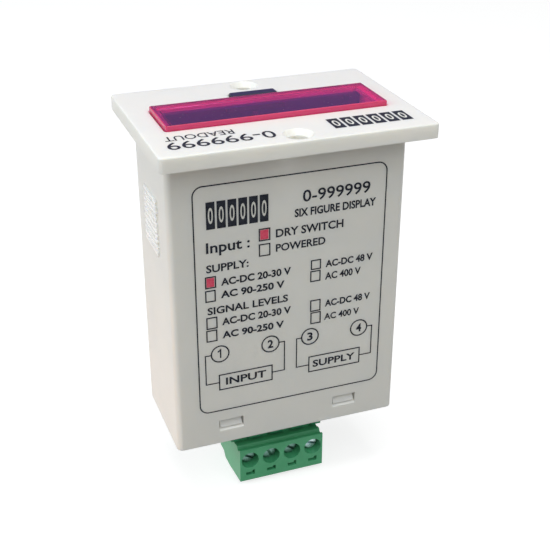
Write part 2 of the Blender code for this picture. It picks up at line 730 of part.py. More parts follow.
def make_chip(name, size, share, pins, pitch):
    """Flat chip with gull-wing legs, as long as its row of legs needs."""
    across, level = board_place(share)
    black = material(name, (0.025, 0.025, 0.028), 0.45)
    width, height = size
    length = (pins - 1 + 2 * CHIP_END) * pitch
    seat = board_face - GAP
    chip = box(name, (width, height, length), (across, seat - GAP - height / 2, level), black)
    for leg in gull_legs(name, pins, pitch, width / 2, seat, height + 2 * GAP):
        leg.location.x = across
        leg.location.z += level
        join(chip, leg)
    return chip


def through_leads(name, start, places):
    """Round leads from inside a part, through the main board, to just past its back."""
    end = board_face + BOARD_THICKNESS + PIN_TAIL
    centres = [(across, (start + end) / 2, level) for across, level in places]
    return many_rods(name + "_leads", PIN_SIZE / 2, end - start, centres, "Y", 8)


def make_capacitor(name, radius, height, across, level, lead_spacing, colour):
    """Upright can with a rolled groove near its seal and two leads through the board."""
    sleeve = material(name, colour, 0.35)
    seat = board_face - GAP
    inner = radius - CAN_EDGE
    profile = [(0, height), (inner, height), (radius, height - CAN_EDGE),
               (radius, CAN_GROOVE_LEVEL + CAN_GROOVE_WIDTH),
               (inner, CAN_GROOVE_LEVEL + CAN_GROOVE_WIDTH / 2),
               (inner, CAN_GROOVE_LEVEL - CAN_GROOVE_WIDTH / 2),
               (radius, CAN_GROOVE_LEVEL - CAN_GROOVE_WIDTH),
               (radius, CAN_EDGE), (inner, 0), (0, 0)]
    can = turned(name, profile, 28)
    can.location = (across, seat, level)
    can.rotation_euler = (pi / 2, 0, 0)
    can.data.materials.append(sleeve)
    leads = [(across + side * lead_spacing / 2, level) for side in (-1, 1)]
    join(can, through_leads(name, seat - LEAD_ROOT, leads))
    smooth(can)
    return can


def turned(name, profile, steps):
    """Turn a profile of (radius, height) points, listed top to bottom, about Z."""
    mesh = bpy.data.meshes.new(name)
    points = [(radius, 0, height) for radius, height in profile]
    mesh.from_pydata(points, [(at, at + 1) for at in range(len(points) - 1)], [])
    made = place(name, mesh, (0, 0, 0))
    screw = made.modifiers.new("turn", "SCREW")
    screw.steps = steps
    screw.render_steps = steps
    screw.use_merge_vertices = True
    screw.merge_threshold = 0.00001
    view = bpy.context.evaluated_depsgraph_get()
    made.data = bpy.data.meshes.new_from_object(made.evaluated_get(view))
    made.modifiers.clear()
    return made


def make_crystal(name, size, across, level, lead_spacing):
    """Flat can with round ends, and two leads through the board."""
    steel = material(name, (0.62, 0.62, 0.62), 0.25, 1.0)
    width, height, depth = size
    seat = board_face - GAP
    shape = box_shape((width, height, depth))
    round_edges(shape, edges_along(shape, 1), CRYSTAL_END, 5)
    round_edges(shape, rim_edges(shape, 1, -1), CRYSTAL_EDGE, 2)
    can = place(name, mesh_from(shape, name), (across, seat - height / 2, level), steel)
    leads = [(across + side * lead_spacing / 2, level) for side in (-1, 1)]
    join(can, through_leads(name, seat - LEAD_ROOT, leads))
    smooth(can)
    return can


def rectifier_leads(across, level):
    offset = PITCH / 2
    return [(across + side * offset, level + end * offset) for side in (-1, 1) for end in (-1, 1)]


def make_rectifier(name, radius, height, across, level):
    """Round bridge rectifier with a flat on its rim and four leads."""
    black = material(name, (0.03, 0.03, 0.03), 0.5)
    seat = board_face - GAP
    block = rod(name, radius, height, (across, seat - height / 2, level), "Y", 28, black)
    cut(block, box(name + "_flat", (radius, 2 * height, 2 * radius),
                   (across + RECTIFIER_FLAT + radius / 2, seat - height / 2, level)))
    join(block, through_leads(name, seat - LEAD_ROOT, rectifier_leads(across, level)))
    smooth(block)
    return block


def make_regulator(name, across, level):
    """Three-lead regulator that lies on the board, its drilled metal tab upwards."""
    black = material(name, (0.03, 0.03, 0.03), 0.5)
    width, thickness, length = REGULATOR_SIZE
    seat = board_face - GAP
    top = level + length / 2
    tab_x = width / 2 - GAP / 3
    block = box(name, REGULATOR_SIZE, (across, seat - thickness / 2, level), black)
    join(block, span_box(name + "_tab", (across - tab_x, seat - REGULATOR_SHEET, level),
                         (across + tab_x, seat - GAP / 3, top + REGULATOR_TAB)))
    cut(block, rod(name + "_hole", REGULATOR_HOLE, 6 * REGULATOR_SHEET,
                   (across, seat, top + REGULATOR_TAB / 2), "Y", 20))
    middle = seat - thickness / 2
    half = PIN_SIZE / 2
    low = level - length / 2 - REGULATOR_LEAD
    back = board_face + BOARD_THICKNESS + PIN_TAIL
    outline = [(middle - half, level), (middle - half, low - half), (back, low - half),
               (back, low + half), (middle + half, low + half), (middle + half, level)]
    lead_places = [across + lead * PITCH_LEAD for lead in (-1, 0, 1)]
    for number, lead_place in enumerate(lead_places):
        join(block, prism(f"{name}_lead_{number}", outline, PIN_SIZE, (lead_place, 0, 0)))
    return block, [(lead_place, low) for lead_place in lead_places]


def make_resistor(name, across, level, lead_spacing):
    """Axial resistor whose two leads bend down through the board."""
    blue = material(name, (0.12, 0.30, 0.42), 0.45)
    radius = RESISTOR_RADIUS
    waist = RESISTOR_WAIST
    end = RESISTOR_LENGTH / 2
    seat = board_face - GAP
    half_profile = [(0, end), (waist, end), (radius, end - waist / 3),
                    (radius, end - waist), (waist, end - radius)]
    profile = half_profile + [(across_at, -along) for across_at, along in reversed(half_profile)]
    body = turned(name, profile, 16)
    body.location = (across, seat - radius, level)
    body.rotation_euler = (0, pi / 2, 0)
    body.data.materials.append(blue)
    half = PIN_SIZE / 2
    reach = lead_spacing / 2
    deep = seat - radius
    back = board_face + BOARD_THICKNESS + PIN_TAIL
    outline = [(-reach - half, deep - half), (reach + half, deep - half), (reach + half, back),
               (reach - half, back), (reach - half, deep + half), (half - reach, deep + half),
               (half - reach, back), (-reach - half, back)]
    join(body, prism(name + "_wire", outline, PIN_SIZE, (across, 0, level), "Z"))
    smooth(body)
    return body


def make_header():
    """Fixed half of the terminal: an open-ended box with four pin holes in its back."""
    green = material("header_green", (0.04, 0.30, 0.16), 0.4)
    header = span_box("terminal_header", (-header_x, header_y - HEADER_HEIGHT / 2, header_mouth),
                      (header_x, header_y + HEADER_HEIGHT / 2, header_top), green)
    cut(header, span_box("header_socket", (-socket_x, header_y - socket_y, header_mouth - HEADER_WALL),
                         (socket_x, header_y + socket_y, socket_end)))
    hole = (CONTACT_PIN + 2 * GAP, CONTACT_PIN + 2 * GAP, 3 * HEADER_BACK)
    cut(header, many_boxes("contact_holes", hole,
                           [(across, header_y, header_top) for across in pole_places]))
    notch = (KEY_RIB + 2 * GAP, 2 * HEADER_WALL, KEY_RIB_LENGTH + GAP)
    notch_y = header_y - HEADER_HEIGHT / 2 + HEADER_WALL / 2
    notch_level = header_mouth + notch[2] / 2 - GAP
    cut(header, many_boxes("header_notches", notch,
                           [(across, notch_y, notch_level) for across in pole_places]))
    return header


def make_contact_pins():
    """Right-angle pins, from inside the header's socket through the main board."""
    tin = material("header_pin", (0.70, 0.69, 0.66), 0.3, 1.0)
    half = CONTACT_PIN / 2
    tip = header_mouth + CONTACT_TIP
    back = board_face + BOARD_THICKNESS + PIN_TAIL
    outline = [(header_y - half, tip), (header_y + half, tip), (header_y + half, board_pin_level - half),
               (back, board_pin_level - half), (back, board_pin_level + half),
               (header_y - half, board_pin_level + half)]
    first = prism("header_pin", outline, CONTACT_PIN, (0, 0, 0), "X", tin)
    return copies("header_pin", first, pole_places)


def plug_outline():
    """Side view of the plug: nose, grooved shoulder in front, chamfer behind, long thin tongue."""
    tongue_front = header_y - socket_y + GAP
    tongue_back = header_y + socket_y - GAP
    nose_front = wire_y - WIRE_HEIGHT / 2
    nose_back = wire_y + WIRE_HEIGHT / 2
    half_groove = GROOVE_DEPTH / 2
    groove_floor = PLUG_GRIP - GROOVE_DEPTH
    half_floor = PLUG_GRIP - half_groove
    lip = plug_front + GROOVE_LIP
    ridge = lip + GROOVE_WIDTH
    step = header_y - HEADER_HEIGHT / 2 - GAP
    return [(plug_front, PLUG_NOSE), (nose_front, 0), (nose_back, 0),
            (nose_back + PLUG_HEEL, PLUG_HEEL), (plug_back, PLUG_HEEL),
            (plug_back, PLUG_GRIP - PLUG_CHAMFER), (plug_back - PLUG_CHAMFER, PLUG_GRIP),
            (tongue_back, PLUG_GRIP), (tongue_back, plug_end), (tongue_front, plug_end),
            (tongue_front, half_floor), (step, half_floor), (step - half_groove, PLUG_GRIP),
            (ridge, PLUG_GRIP), (ridge - half_groove, groove_floor),
            (lip + half_groove, groove_floor), (lip, PLUG_GRIP), (plug_front, PLUG_GRIP)]


def make_plug():
    """Loose half of the terminal: screw wells, clamp chambers, wire entries and contact slots."""
    green = material("plug_green", (0.06, 0.38, 0.20), 0.4)
    width = POLES * PITCH - 2 * GAP / 3
    plug = prism("terminal_plug", plug_outline(), width, (0, 0, 0), "X", green)
    ribs = (KEY_RIB, 2 * HEADER_WALL, KEY_RIB_LENGTH + 2 * GAP)
    rib_y = header_y - socket_y + GAP + HEADER_WALL / 4
    rib_level = PLUG_GRIP + KEY_RIB_LENGTH / 2 - 2 * GAP
    join(plug, many_boxes("key_ribs", ribs, [(across, rib_y, rib_level) for across in pole_places]))
    chamber_front = clamp_front() - GAP
    well = chamber_front - plug_front + 2 * GAP
    cut(plug, many_rods("screw_wells", WELL_RADIUS, 2 * well,
                        [(across, plug_front, SCREW_LEVEL) for across in pole_places], "Y", 24))
    size = (CLAMP_WIDTH + 2 * GAP, CLAMP_DEPTH + 2 * GAP, CLAMP_LENGTH + 2 * GAP)
    centre_y = chamber_front + size[1] / 2
    cut(plug, many_boxes("clamp_chambers", size,
                         [(across, centre_y, SCREW_LEVEL) for across in pole_places]))
    size = (SPRING_WIDTH + 2 * GAP, spring_depth() + 2 * GAP, spring_top() + 2 * GAP - SCREW_LEVEL)
    level = SCREW_LEVEL + size[2] / 2
    cut(plug, many_boxes("contact_chambers", size,
                         [(across, header_y, level) for across in pole_places]))
    size = (CONTACT_PIN + 3 * GAP, CONTACT_PIN + 3 * GAP, 2 * (plug_end - spring_top()))
    cut(plug, many_boxes("pin_mouths", size,
                         [(across, header_y, plug_end) for across in pole_places]))
    size = (WIRE_WIDTH, WIRE_HEIGHT - 2 * GAP, SCREW_LEVEL)
    cut(plug, many_boxes("wire_entries", size, [(across, wire_y, 0) for across in pole_places]))
    cut_test_slots(plug)
    return plug


def cut_test_slots(plug):
    """A low slot under each screw, taller at its right end."""
    size = (TEST_SLOT_WIDTH, 2 * TEST_SLOT_DEPTH, TEST_SLOT_HEIGHT)
    cut(plug, many_boxes("test_slots", size,
                         [(across, plug_front, TEST_SLOT_LEVEL) for across in pole_places]))
    width, height = TEST_SLOT_END
    shift = TEST_SLOT_WIDTH / 2 - width / 2
    level = TEST_SLOT_LEVEL - TEST_SLOT_HEIGHT / 2 + height / 2
    size = (width, TEST_SLOT_DEPTH, height)
    cut(plug, many_boxes("test_slot_ends", size,
                         [(across + shift, plug_front, level) for across in pole_places]))


def clamp_front():
    """Front of the clamp frames: the wire passes through the middle of what is behind the nut."""
    return wire_y - (CLAMP_DEPTH - CLAMP_NUT - CLAMP_SHEET) / 2 - CLAMP_NUT


def spring_depth():
    return CONTACT_PIN + 2 * GAP + 2 * SPRING_SHEET


def spring_top():
    return SCREW_LEVEL + CLAMP_LENGTH / 2 + GAP + SPRING_LENGTH


def make_clamps():
    """Square frames that pull the wire against the contact when their screw turns."""
    steel = material("wire_clamp", (0.62, 0.62, 0.60), 0.35, 1.0)
    front = clamp_front()
    frame = box("wire_clamp", (CLAMP_WIDTH, CLAMP_DEPTH, CLAMP_LENGTH),
                (0, front + CLAMP_DEPTH / 2, SCREW_LEVEL), steel)
    low = (CLAMP_SHEET - CLAMP_WIDTH / 2, front + CLAMP_NUT, SCREW_LEVEL - CLAMP_LENGTH)
    high = (CLAMP_WIDTH / 2 - CLAMP_SHEET, front + CLAMP_DEPTH - CLAMP_SHEET, SCREW_LEVEL + CLAMP_LENGTH)
    cut(frame, span_box("clamp_mouth", low, high))
    cut(frame, rod("clamp_thread", SHANK_RADIUS + GAP, 2 * CLAMP_NUT, (0, front, SCREW_LEVEL), "Y", 20))
    settled(frame)
    return copies("wire_clamp", frame, pole_places)


def make_screws():
    """Slotted screws sunk in the plug's wells, each turned a little differently."""
    steel = material("clamp_screw", (0.55, 0.60, 0.60), 0.3, 1.0)
    head_radius = WELL_RADIUS - GAP
    head_face = SCREW_SINK + plug_front
    shank_end = clamp_front() + CLAMP_NUT + GAP
    length = shank_end - head_face
    profile = [(0, length), (head_radius - GAP, length), (head_radius, length - GAP),
               (head_radius, length - SCREW_HEAD), (SHANK_RADIUS, length - SCREW_HEAD),
               (SHANK_RADIUS, SHANK_RADIUS / 3), (SHANK_RADIUS * 2 / 3, 0), (0, 0)]
    screw = turned("clamp_screw", profile, 24)
    screw.location = (0, shank_end, SCREW_LEVEL)
    screw.rotation_euler = (pi / 2, 0, 0)
    screw.data.materials.append(steel)
    cut(screw, box("screw_slot", (3 * head_radius, 2 * SLOT_DEPTH, SLOT_WIDTH),
                   (0, head_face, SCREW_LEVEL)))
    smooth(screw)
    settled(screw)
    row = copies("clamp_screw", screw, pole_places)
    for one, turn in zip(row, SCREW_TURNS):
        one.rotation_euler.y = turn
    return row


def make_contact_springs():
    """Forked springs in the plug's tongue, each gripping one header pin."""
    bronze = material("contact_spring", (0.72, 0.55, 0.30), 0.3, 1.0)
    outer = spring_depth() / 2
    inner = outer - SPRING_SHEET
    low = SCREW_LEVEL + CLAMP_LENGTH / 2 + GAP
    high = spring_top()
    outline = [(-outer, low), (outer, low), (outer, high), (inner, high), (inner, low + SPRING_SHEET),
               (-inner, low + SPRING_SHEET), (-inner, high), (-outer, high)]
    outline = [(header_y + deep, level) for deep, level in outline]
    first = prism("contact_spring", outline, SPRING_WIDTH, (0, 0, 0), "X", bronze)
    return copies("contact_spring", first, pole_places)


def carry(carrier, pieces):
    """Fix pieces to the one that carries them, each where it lies."""
    for piece in pieces:
        piece.parent = carrier
        piece.matrix_parent_inverse = Matrix.Translation(carrier.location).inverted()


def make_power_parts():
    """What turns the supply into the boards' low voltage, and the holes for its leads."""
    rectifier = make_rectifier("bridge_rectifier", RECTIFIER_RADIUS, RECTIFIER_HEIGHT,
                               *board_place(RECTIFIER))
    supply_height = board_face - GAP + inner_y - SUPPLY_CAN_HEADROOM
    supply = make_capacitor("supply_capacitor", SUPPLY_CAN_RADIUS, supply_height,
                            *board_place(SUPPLY_CAN), PITCH, (0.03, 0.04, 0.12))
    output = make_capacitor("output_capacitor", OUTPUT_CAN_RADIUS, OUTPUT_CAN_HEIGHT,
                            *board_place(OUTPUT_CAN), PITCH_LEAD, (0.03, 0.03, 0.03))
    resistor = make_resistor("input_resistor", *board_place(RESISTOR), RESISTOR_SPAN)
    regulator, regulator_holes = make_regulator("voltage_regulator", *board_place(REGULATOR))
    holes = regulator_holes + rectifier_leads(*board_place(RECTIFIER))
    for share, spacing in ((SUPPLY_CAN, PITCH), (OUTPUT_CAN, PITCH_LEAD), (RESISTOR, RESISTOR_SPAN)):
        holes += lead_pair(share, spacing)
    return [rectifier, supply, output, resistor, regulator], holes


def lead_pair(share, spacing):
    across, level = board_place(share)
    return [(across + side * spacing / 2, level) for side in (-1, 1)]


def make_logic_parts():
    """The counting circuit, and the holes for its leads."""
    optocoupler = make_chip("input_optocoupler", OPTOCOUPLER_SIZE, OPTOCOUPLER,
                            OPTOCOUPLER_PIN_COUNT, PITCH_LEAD)
    controller = make_chip("controller_chip", CONTROLLER_SIZE, CONTROLLER,
                           CONTROLLER_PIN_COUNT, SMALL_PITCH)
    memory = make_chip("memory_chip", MEMORY_SIZE, MEMORY, MEMORY_PIN_COUNT, SMALL_PITCH)
    crystal = make_crystal("crystal", CRYSTAL_SIZE, *board_place(CRYSTAL), CRYSTAL_LEADS)
    return [optocoupler, controller, memory, crystal], lead_pair(CRYSTAL, CRYSTAL_LEADS)


housing = make_housing()
lens = make_lens()
cover = make_rear_cover()
key = make_reset_key()
switch, plunger = make_reset_switch()
display_board = make_display_board()
modules = [make_digit_module("digit_module_left", -1), make_digit_module("digit_module_right", 1)]
link = make_board_link()
power_parts, power_holes = make_power_parts()
logic_parts, logic_holes = make_logic_parts()
main_board = make_main_board(power_holes + logic_holes)
header = make_header()
contact_pins = make_contact_pins()
plug = make_plug()
clamps = make_clamps()
screws = make_screws()
springs = make_contact_springs()

carry(housing, [lens, cover, key, display_board, main_board])
carry(key, [plunger])
carry(display_board, modules + [switch])
carry(main_board, power_parts + logic_parts + [link, header])
carry(header, contact_pins + [plug])
carry(plug, clamps + screws + springs)
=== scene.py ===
import math

import bmesh
import bpy
from mathutils import Matrix, Vector


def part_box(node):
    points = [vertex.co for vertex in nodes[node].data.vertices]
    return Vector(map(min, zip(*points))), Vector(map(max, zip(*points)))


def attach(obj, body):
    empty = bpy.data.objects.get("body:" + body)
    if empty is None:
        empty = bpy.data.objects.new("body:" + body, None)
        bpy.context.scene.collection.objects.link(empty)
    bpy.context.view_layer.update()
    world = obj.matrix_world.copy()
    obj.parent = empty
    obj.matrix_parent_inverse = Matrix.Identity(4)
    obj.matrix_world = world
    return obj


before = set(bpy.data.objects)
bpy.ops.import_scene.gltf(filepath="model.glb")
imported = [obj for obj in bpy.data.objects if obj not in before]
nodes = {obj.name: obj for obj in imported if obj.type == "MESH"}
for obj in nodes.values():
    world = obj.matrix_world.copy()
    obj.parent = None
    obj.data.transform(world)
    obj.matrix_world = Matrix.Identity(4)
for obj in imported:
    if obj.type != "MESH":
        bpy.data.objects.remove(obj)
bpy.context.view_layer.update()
mm = 0.001
print("stage 1: frame loaded,", len(nodes), "nodes")


# helpers for node trees
class Wire:
    # a socket that takes part in plain sums
    def __init__(self, sheet, socket):
        self.sheet = sheet
        self.socket = socket

    def maths(self, operation, first, second):
        return self.sheet.add("ShaderNodeMath", {"operation": operation}, {0: first, 1: second})

    def other(self, name):
        return Wire(self.sheet, self.socket.node.outputs[name])

    def __add__(self, other):
        return self.maths("ADD", self, other)

    __radd__ = __add__

    def __mul__(self, other):
        return self.maths("MULTIPLY", self, other)

    __rmul__ = __mul__

    def __sub__(self, other):
        return self.maths("SUBTRACT", self, other)

    def __rsub__(self, other):
        return self.maths("SUBTRACT", other, self)

    def __gt__(self, other):
        return self.maths("GREATER_THAN", self, other)

    def __lt__(self, other):
        return self.maths("LESS_THAN", self, other)

    def __abs__(self):
        return self.maths("ABSOLUTE", self, 0.0)

    def least(self, other):
        return self.maths("MINIMUM", self, other)

    def clamped(self):
        return self.sheet.add(
            "ShaderNodeMath", {"operation": "MULTIPLY", "use_clamp": True}, {0: self, 1: 1.0}
        )


class Sheet:
    # a node tree that is filled node by node
    def __init__(self, tree):
        self.tree = tree

    def add(self, kind, settings=(), values=(), output=0):
        node = self.tree.nodes.new(kind)
        for name, value in dict(settings).items():
            setattr(node, name, value)
        for name, value in dict(values).items():
            if isinstance(value, Wire):
                self.tree.links.new(value.socket, node.inputs[name])
            else:
                node.inputs[name].default_value = value
        return Wire(self, node.outputs[output]) if len(node.outputs) else node


mixFactor, mixFirst, mixSecond, mixResult = 0, 6, 7, 2    # sockets of a Mix node that mixes colours


def emptyMaterial(name):
    material = bpy.data.materials.new(name)
    material.use_nodes = True
    material.node_tree.nodes.clear()
    return material, Sheet(material.node_tree)


def blendColours(sheet, factor, first, second):
    first, second = (c if isinstance(c, Wire) else (*c, 1) for c in (first, second))
    return sheet.add(
        "ShaderNodeMix",
        {"data_type": "RGBA"},
        {mixFactor: factor, mixFirst: first, mixSecond: second},
        mixResult,
    )


def partsOf(sheet, vector):
    # the x, y and z of a vector
    x = sheet.add("ShaderNodeSeparateXYZ", {}, {0: vector}, "X")
    return x, x.other("Y"), x.other("Z")


def insideBox(sheet, place, low, high, soft):
    # 1 inside the box and 0 outside it, with an edge of that softness along each axis
    def vectors(operation, first, second):
        return sheet.add("ShaderNodeVectorMath", {"operation": operation}, {0: first, 1: second})

    pastLow = vectors("DIVIDE", vectors("SUBTRACT", place, low), soft)
    beforeHigh = vectors("DIVIDE", vectors("SUBTRACT", high, place), soft)
    nearest = vectors("MINIMUM", pastLow, beforeHigh)
    x, y, z = partsOf(sheet, nearest)
    return x.least(y).least(z).clamped()


def noise(sheet, place, size, detail=2.0):
    # values spread round 0.5, for spots of about that size in metres
    return sheet.add(
        "ShaderNodeTexNoise", {}, {"Vector": place, "Scale": 1 / size, "Detail": detail}
    )


def driftOf(sheet, cloud, shade, tint):
    # two shades, with the soft noise spread over the whole way between them
    return blendColours(sheet, (cloud - 0.5) * driftContrast + 0.5, shade, tint)


def reliefOf(sheet, height, depth, force):
    return sheet.add("ShaderNodeBump", {}, {"Height": height, "Distance": depth, "Strength": force})


driftContrast = 3
cloudDetail = 3.0
grainForce = 0.3

# what a finish has unless it says otherwise
commonLook = {
    "roughDrift": 0.08,               # how far roughness follows the two shades
    "metallic": 0.0,
    "ior": 1.46,
    "glowReach": (1.0, 0.9, 0.75),    # how deep each colour soaks in, as shares of glowDepth
    "paintedLightAndShade": (),
}


def surfaceOf(given):
    # one finish: two shades that drift over the piece, a fine grain in roughness and relief, and
    # boxes where light or shade is painted into the colour
    look = {**commonLook, **given}
    material, sheet = emptyMaterial(look["name"])
    place = sheet.add("ShaderNodeTexCoord", output="Object")
    cloud = noise(sheet, place, look["cloudSize"], cloudDetail)
    grain = noise(sheet, place, look["grainSize"])
    shade = driftOf(sheet, cloud, look["shade"], look["tint"])
    # painted light and shade: inside each box the colour gives way to a lighter or darker tone
    for low, high, soft, paintedTone in look["paintedLightAndShade"]:
        shade = blendColours(sheet, insideBox(sheet, place, low, high, soft), shade, paintedTone)
    uneven = (grain - 0.5) * look["roughSpread"] + (cloud - 0.5) * look["roughDrift"]
    values = {
        "Base Color": shade,
        "Roughness": uneven + look["roughness"],
        "Normal": reliefOf(sheet, grain, look["grainDepth"], grainForce),
        "Metallic": look["metallic"],
        "IOR": look["ior"],
    }
    if "glow" in look:                # light that soaks into the plastic near its face
        values["Subsurface Weight"] = look["glow"]
        values["Subsurface Radius"] = look["glowReach"]
        values["Subsurface Scale"] = look["glowDepth"]
    body = sheet.add("ShaderNodeBsdfPrincipled", {}, values)
    sheet.add("ShaderNodeOutputMaterial", {}, {"Surface": body})
    return material


def at(x, y, z):
    # a place or a measure along each axis, given in millimetres
    return (x * mm, y * mm, z * mm)


# finishes, one for each material slot of the CAD nodes
crisp = at(0.02, 0.02, 0.02)
hollowShadeFade = at(0.02, 0.02, 1.0)
screwRoom = Vector(at(0.2, 0.2, 0.2))
ledgeLow, ledgeHigh = at(-23.6, -7, 84.5), at(23.6, 7, 85.6)    # the ledge that carries the lens
hollowPaintedShade = (0.06, 0.09, 0.48)        # painted shade for the hollow behind the lens
# painted light for the tooth strips on the sides
toothPaintedLight = (1.0, 0.985, 0.93)
ivory = {
    "name": "ivory_plastic",
    "shade": (0.80, 0.785, 0.735),
    "tint": (0.77, 0.765, 0.725),
    "cloudSize": 9 * mm,
    "grainSize": 0.28 * mm,
    "grainDepth": 0.02 * mm,
    "roughness": 0.38,
    "roughSpread": 0.25,
    "glow": 0.5,
    "glowDepth": 2.2 * mm,
    "paintedLightAndShade": [
        # low corner, high corner, softness, shade; each zone paints light or shade into the colour
        # painted shade and painted glow of the lens: the ledge under the lens is darker and pinker
        # than the ivory, its left end darker still, its right end a little lighter
        (ledgeLow, ledgeHigh, crisp, (0.56, 0.46, 0.56)),
        (ledgeLow, at(-21.58, 7, 85.6), crisp, (0.18, 0.22, 0.34)),
        (at(21.58, -7, 84.5), ledgeHigh, crisp, (0.48, 0.42, 0.52)),
        # painted light: the right wall of the hollow behind the lens is lighter, as if lit through
        # the lens
        (at(22.7, -7.6, 74), at(23.6, 7.6, 84.5), crisp, (0.97, 0.92, 0.95)),
        # painted shade: the hollow behind the lens darkens with depth to a bluish dark
        (at(-22.7, -10.6, 72), at(22.7, 10.6, 84.5), hollowShadeFade, hollowPaintedShade),
        (at(-23.6, 7.6, 72), at(23.6, 10.6, 84.5), hollowShadeFade, hollowPaintedShade),
        # painted light: the tooth strips are lighter, as if their facets caught the light from
        # above
        (at(-26, -5.2, 59.2), at(-25.22, 5.2, 72.1), crisp, toothPaintedLight),
        (at(25.22, -5.2, 59.2), at(26, 5.2, 72.1), crisp, toothPaintedLight),
    ],
}
finishes = {
    "housing_ivory": ivory,
    "key_navy": {
        "name": "navy_plastic",
        "shade": (0.006, 0.008, 0.030),
        "tint": (0.010, 0.012, 0.040),
        "cloudSize": 4 * mm,
        "grainSize": 0.2 * mm,
        "grainDepth": 0.015 * mm,
        "roughness": 0.38,
        "roughSpread": 0.2,
        "ior": 1.38,
    },
    "black_plastic": {
        "name": "black_moulded_plastic",
        "shade": (0.018, 0.018, 0.02),
        "tint": (0.03, 0.03, 0.032),
        "cloudSize": 3 * mm,
        "grainSize": 0.15 * mm,
        "grainDepth": 0.02 * mm,
        "roughness": 0.55,
        "roughSpread": 0.25,
    },
    # painted shade: the white plunger is given the dark tone of the shaded hollow it stands in
    "white_plastic": {
        "name": "plunger_painted_shade",
        "shade": (0.07, 0.07, 0.20),
        "tint": (0.09, 0.09, 0.24),
        "cloudSize": 3 * mm,
        "grainSize": 0.2 * mm,
        "grainDepth": 0.02 * mm,
        "roughness": 0.45,
        "roughSpread": 0.2,
    },
    "board_green": {
        "name": "circuit_board",
        "shade": (0.012, 0.13, 0.045),
        "tint": (0.018, 0.17, 0.06),
        "cloudSize": 2.2 * mm,
        "grainSize": 0.4 * mm,
        "grainDepth": 0.03 * mm,
        "roughness": 0.32,
        "roughSpread": 0.25,
    },
    "display_dark": {
        "name": "display_face",
        "shade": (0.07, 0.07, 0.42),
        "tint": (0.09, 0.085, 0.50),
        "cloudSize": 2.5 * mm,
        "grainSize": 0.12 * mm,
        "grainDepth": 0.01 * mm,
        "roughness": 0.5,
        "roughSpread": 0.2,
    },
    "steel": {
        "name": "zinc_plated_steel",
        "shade": (0.30, 0.44, 0.46),
        "tint": (0.62, 0.74, 0.76),
        "cloudSize": 1.2 * mm,
        "grainSize": 0.12 * mm,
        "grainDepth": 0.02 * mm,
        "roughness": 0.3,
        "roughSpread": 0.3,
        "metallic": 1.0,
        "paintedLightAndShade": [
            # painted shade: the first three clamp screws are duller than the last
            (
                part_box("clamp_screw_1")[0] - screwRoom,
                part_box("clamp_screw_3")[1] + screwRoom,
                crisp,
                (0.15, 0.27, 0.23),
            ),
        ],
    },
    "tin": {
        "name": "tinned_metal",
        "shade": (0.68, 0.68, 0.66),
        "tint": (0.76, 0.76, 0.74),
        "cloudSize": 1.0 * mm,
        "grainSize": 0.1 * mm,
        "grainDepth": 0.015 * mm,
        "roughness": 0.34,
        "roughSpread": 0.25,
        "metallic": 1.0,
    },
    "bronze": {
        "name": "spring_bronze",
        "shade": (0.62, 0.40, 0.20),
        "tint": (0.70, 0.47, 0.26),
        "cloudSize": 1.4 * mm,
        "grainSize": 0.12 * mm,
        "grainDepth": 0.015 * mm,
        "roughness": 0.3,
        "roughSpread": 0.25,
        "metallic": 1.0,
    },
    "sleeve_blue": {
        "name": "capacitor_sleeve",
        "shade": (0.02, 0.04, 0.16),
        "tint": (0.03, 0.055, 0.20),
        "cloudSize": 3 * mm,
        "grainSize": 0.3 * mm,
        "grainDepth": 0.015 * mm,
        "roughness": 0.3,
        "roughSpread": 0.15,
    },
    "resistor_blue": {
        "name": "resistor_lacquer",
        "shade": (0.10, 0.26, 0.42),
        "tint": (0.13, 0.31, 0.47),
        "cloudSize": 1.5 * mm,
        "grainSize": 0.2 * mm,
        "grainDepth": 0.03 * mm,
        "roughness": 0.38,
        "roughSpread": 0.2,
    },
    "header_green": {
        "name": "header_plastic",
        "shade": (0.045, 0.33, 0.16),
        "tint": (0.055, 0.37, 0.18),
        "cloudSize": 4 * mm,
        "grainSize": 0.22 * mm,
        "grainDepth": 0.02 * mm,
        "roughness": 0.4,
        "roughSpread": 0.22,
    },
    "plug_green": {
        "name": "plug_plastic",
        "shade": (0.066, 0.385, 0.175),
        "tint": (0.085, 0.43, 0.205),
        "cloudSize": 4 * mm,
        "grainSize": 0.22 * mm,
        "grainDepth": 0.02 * mm,
        "roughness": 0.4,
        "roughSpread": 0.22,
        "glow": 0.06,
        "glowDepth": 0.8 * mm,
    },
}
materials = {name: surfaceOf(look) for name, look in finishes.items()}

lensLook = {
    "tint": (1.0, 0.14, 0.46),        # what one face lets through
    "lampTint": (1.0, 0.06, 0.30),    # what the whole plate lets through to what lies below it
    "roughness": 0.03,
    "ior": 1.49,
    "edgeShade": (0.68, 0.04, 0.15),  # the frosted sides
    "edgeShare": 0.8,
    "edgeRough": 0.2,
    "edgeSpread": 0.1,
    "edgeGlow": 0.3,
    "edgeDepth": 0.6 * mm,
    "flatFrom": 0.97,                 # faces that look up or down this much are clear
    "lipTop": 85.72 * mm,             # the lip below the plate is clear all round
    "rimPaintedShade": (0.24, 0.02, 0.08),   # painted shade: sides that look back or right, or are seen from inside, are darker
    "paintedRimFrom": 0.2,
    "dustShade": (0.95, 0.55, 0.7),
    "dustSize": 1.1 * mm,
    "dustShare": 0.055,
    "dustRough": 0.3,
    "waveSize": 7 * mm,
    "waveDepth": 0.03 * mm,
    "waveForce": 0.1,
}


